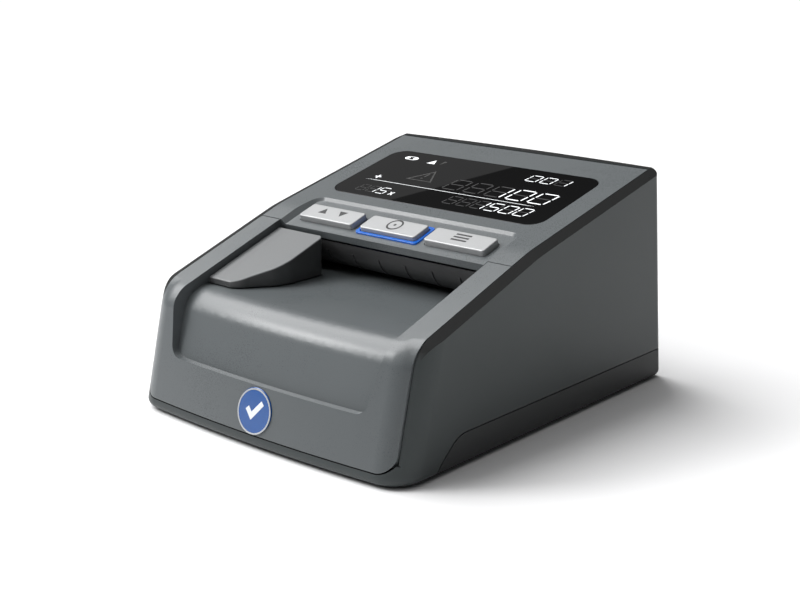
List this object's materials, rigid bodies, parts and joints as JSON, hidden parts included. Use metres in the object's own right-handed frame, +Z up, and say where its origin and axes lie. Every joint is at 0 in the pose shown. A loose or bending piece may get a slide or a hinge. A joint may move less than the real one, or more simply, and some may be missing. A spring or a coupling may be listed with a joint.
{
  "type": "banknote checker and counter",
  "caption": "Desk-top banknote checker with a sloping hinged lid, a wide display, press keys, an open feed tray with a side guide, and a roller transport inside.",
  "frame": {"origin": "middle of the footprint, on the plane of the rubber feet", "axes": "+Z up; +Y from the feed tray at the front to the rear wall; +X to the right seen from the front"},
  "size_m": [0.128, 0.1586, 0.0829],
  "materials": {
    "grey_shell": "fine-textured grey moulding",
    "dark_shell": "fine-textured charcoal moulding",
    "black_inner": "black moulding",
    "guide_grey": "smooth grey moulding",
    "key_silver": "satin silver-grey key cap",
    "light_blue": "translucent blue light guide",
    "badge_blue": "glossy blue disc",
    "display_glass": "black display window",
    "rubber_black": "soft black rubber",
    "roller_rubber": "dark roller rubber",
    "steel": "bright drawn steel",
    "bronze": "sintered bearing bronze",
    "gear_white": "natural acetal",
    "board_green": "circuit board with solder mask",
    "cell_blue": "shrink-wrapped cell pack",
    "lamp_glass": "clear sensor window"
  },
  "bodies": {
    "case": {"main_housing": "dark_shell", "base_tray": "dark_shell", "battery_door": "dark_shell", "front_fascia": "grey_shell", "lower_note_plate": "black_inner", "switch_frame": "black_inner", "dc_inlet": "black_inner", "buzzer": "black_inner", "badge_disc": "badge_blue", "rubber_feet": "rubber_black", "drive_belt": "rubber_black", "base_screws": "steel", "hinge_pins": "steel", "drive_motor": "steel", "motor_bracket": "steel", "data_port": "steel", "card_slot": "steel", "magnetic_head": "steel", "battery_pack": "cell_blue", "lower_sensor_board": "board_green", "main_board": "board_green", "shaft_bearings": "bronze", "lower_sensor_window": "lamp_glass"},
    "lid": {"top_lid": "grey_shell", "display_window": "display_glass", "lcd_module": "display_glass", "key_light_ring": "light_blue", "key_board": "board_green", "tact_switches": "steel", "upper_note_plate": "black_inner", "upper_sensor_window": "lamp_glass", "upper_sensor_board": "board_green"},
    "left_key": {"key_left": "key_silver"},
    "middle_key": {"key_middle": "key_silver"},
    "right_key": {"key_right": "key_silver"},
    "release": {"release_button": "black_inner"},
    "rocker": {"power_rocker": "black_inner"},
    "guide": {"note_guide": "guide_grey"},
    "front_roller": {"front_drive_shaft": "steel", "front_drive_tyres": "roller_rubber", "front_pulley": "gear_white", "drive_gear": "gear_white"},
    "rear_roller": {"rear_drive_shaft": "steel", "rear_drive_tyres": "roller_rubber", "rear_pulley": "gear_white"},
    "pinion": {"motor_pinion": "steel"},
    "front_pinch": {"front_pinch_shaft": "steel", "front_pinch_wheels": "gear_white"},
    "rear_pinch": {"rear_pinch_shaft": "steel", "rear_pinch_wheels": "gear_white"}
  },
  "joints": [
    {"name": "lid_hinge", "type": "hinge", "parent": "case", "child": "lid", "pos_m": [0, 0.0664, 0.0795], "axis": [-1, 0, 0], "range_deg": [0, 65]},
    {"name": "left_key_press", "type": "slide", "parent": "lid", "child": "left_key", "axis": [0, 0.3134, -0.9496], "range_m": [0, 0.001], "stiffness_N_per_m": 200},
    {"name": "middle_key_press", "type": "slide", "parent": "lid", "child": "middle_key", "axis": [0, 0.3134, -0.9496], "range_m": [0, 0.001], "stiffness_N_per_m": 200},
    {"name": "right_key_press", "type": "slide", "parent": "lid", "child": "right_key", "axis": [0, 0.3134, -0.9496], "range_m": [0, 0.001], "stiffness_N_per_m": 200},
    {"name": "release_press", "type": "slide", "parent": "case", "child": "release", "axis": [1, 0, 0], "range_m": [0, 0.0024], "stiffness_N_per_m": 150},
    {"name": "power_switch", "type": "hinge", "parent": "case", "child": "rocker", "pos_m": [-0.035, 0.074, 0.022], "axis": [1, 0, 0], "range_deg": [0, 12]},
    {"name": "guide_lift", "type": "slide", "parent": "case", "child": "guide", "axis": [0, 0, 1], "range_m": [0, 0.018]},
    {"name": "front_roller_spin", "type": "hinge", "parent": "case", "child": "front_roller", "pos_m": [0, 0.012, 0.0379], "axis": [1, 0, 0], "continuous": true},
    {"name": "rear_roller_spin", "type": "hinge", "parent": "case", "child": "rear_roller", "pos_m": [0, 0.048, 0.0379], "axis": [1, 0, 0], "continuous": true},
    {"name": "pinion_spin", "type": "hinge", "parent": "case", "child": "pinion", "pos_m": [0, 0.022, 0.0253], "axis": [1, 0, 0], "continuous": true},
    {"name": "front_pinch_spin", "type": "hinge", "parent": "lid", "child": "front_pinch", "pos_m": [0, 0.012, 0.0483], "axis": [1, 0, 0], "continuous": true},
    {"name": "rear_pinch_spin", "type": "hinge", "parent": "lid", "child": "rear_pinch", "pos_m": [0, 0.048, 0.0483], "axis": [1, 0, 0], "continuous": true}
  ],
  "couplings": [
    {"joint": "rear_roller_spin", "follows": "front_roller_spin", "ratio": 1},
    {"joint": "pinion_spin", "follows": "front_roller_spin", "ratio": -3},
    {"joint": "front_pinch_spin", "follows": "front_roller_spin", "ratio": -1.5},
    {"joint": "rear_pinch_spin", "follows": "front_roller_spin", "ratio": -1.5}
  ]
}
